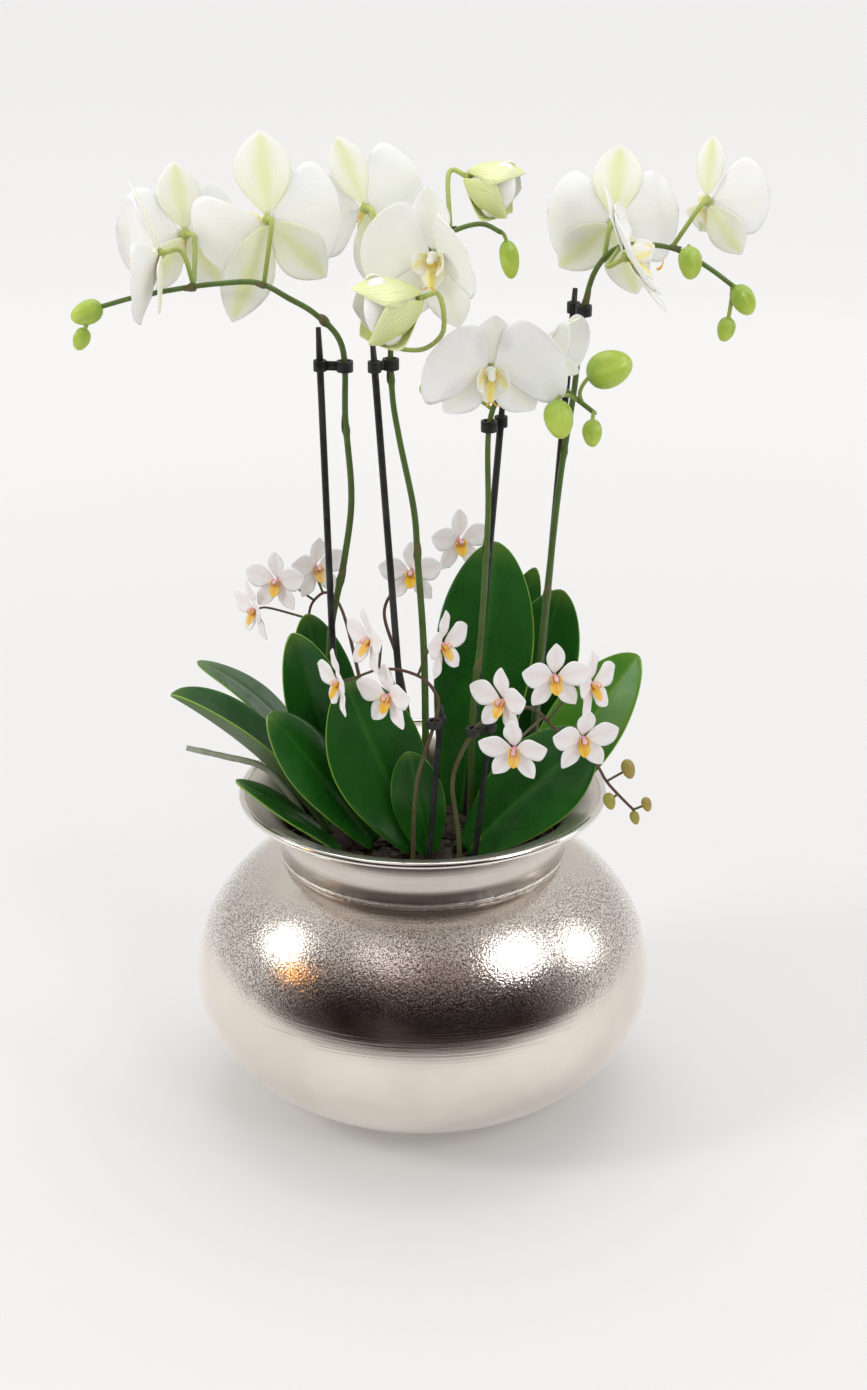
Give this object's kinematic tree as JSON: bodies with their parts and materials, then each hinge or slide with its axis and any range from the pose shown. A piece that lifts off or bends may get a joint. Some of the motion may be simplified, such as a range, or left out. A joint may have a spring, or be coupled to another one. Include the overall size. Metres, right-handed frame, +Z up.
{
  "type": "potted orchid",
  "caption": "Potted moth orchids in a round metal urn: tall staked sprays of large white flowers over short sprays of small ones, with strap leaves in bark.",
  "frame": {"origin": "centre of the urn's flat base, on the surface it stands on", "axes": "+Z up through the urn and the plants, -Y towards the front of the arrangement, +X to its right"},
  "size_m": [0.4237, 0.3, 0.6313],
  "materials": {
    "urn_bowl": "cast white metal, lightly hammered over the shoulder and brushed below",
    "urn_collar": "brushed collar with a polished rolled lip",
    "bark": "loose dark bark chips",
    "root": "dry grey-green aerial root",
    "black_plastic": "black moulded plastic",
    "stem": "smooth green stems and buds, brown rings at the joints",
    "small_flowers": "thin white petals flushed pink on brown-green stems",
    "leaf": "thick glossy dark green, matt grey-green below",
    "petal": "thin white petals, yellow-green at the centre of the back"
  },
  "bodies": {
    "root": {"air_root": "root", "bark_mix": "bark", "clip_front": "black_plastic", "clip_left": "black_plastic", "clip_middle": "black_plastic", "clip_right": "black_plastic", "flower_front_1": "petal", "flower_front_2": "petal", "flower_left_1": "petal", "flower_left_2": "petal", "flower_left_3": "petal", "flower_middle_1": "petal", "flower_middle_2": "petal", "flower_middle_3": "petal", "flower_middle_4": "petal", "flower_right_1": "petal", "flower_right_2": "petal", "flower_right_3": "petal", "leaf_01": "leaf", "leaf_02": "leaf", "leaf_03": "leaf", "leaf_04": "leaf", "leaf_05": "leaf", "leaf_06": "leaf", "leaf_07": "leaf", "leaf_08": "leaf", "leaf_09": "leaf", "leaf_10": "leaf", "leaf_11": "leaf", "leaf_12": "leaf", "leaf_13": "leaf", "pot_bowl": "urn_bowl", "pot_collar": "urn_collar", "small_clip_front": "black_plastic", "small_clip_right": "black_plastic", "small_spike_back": "small_flowers", "small_spike_front": "small_flowers", "small_spike_left": "small_flowers", "small_spike_right": "small_flowers", "small_stake_front": "black_plastic", "small_stake_right": "black_plastic", "spike_front": "stem", "spike_left": "stem", "spike_middle": "stem", "spike_right": "stem", "stake_front": "black_plastic", "stake_left": "black_plastic", "stake_middle": "black_plastic", "stake_right": "black_plastic"}
  },
  "joints": []
}
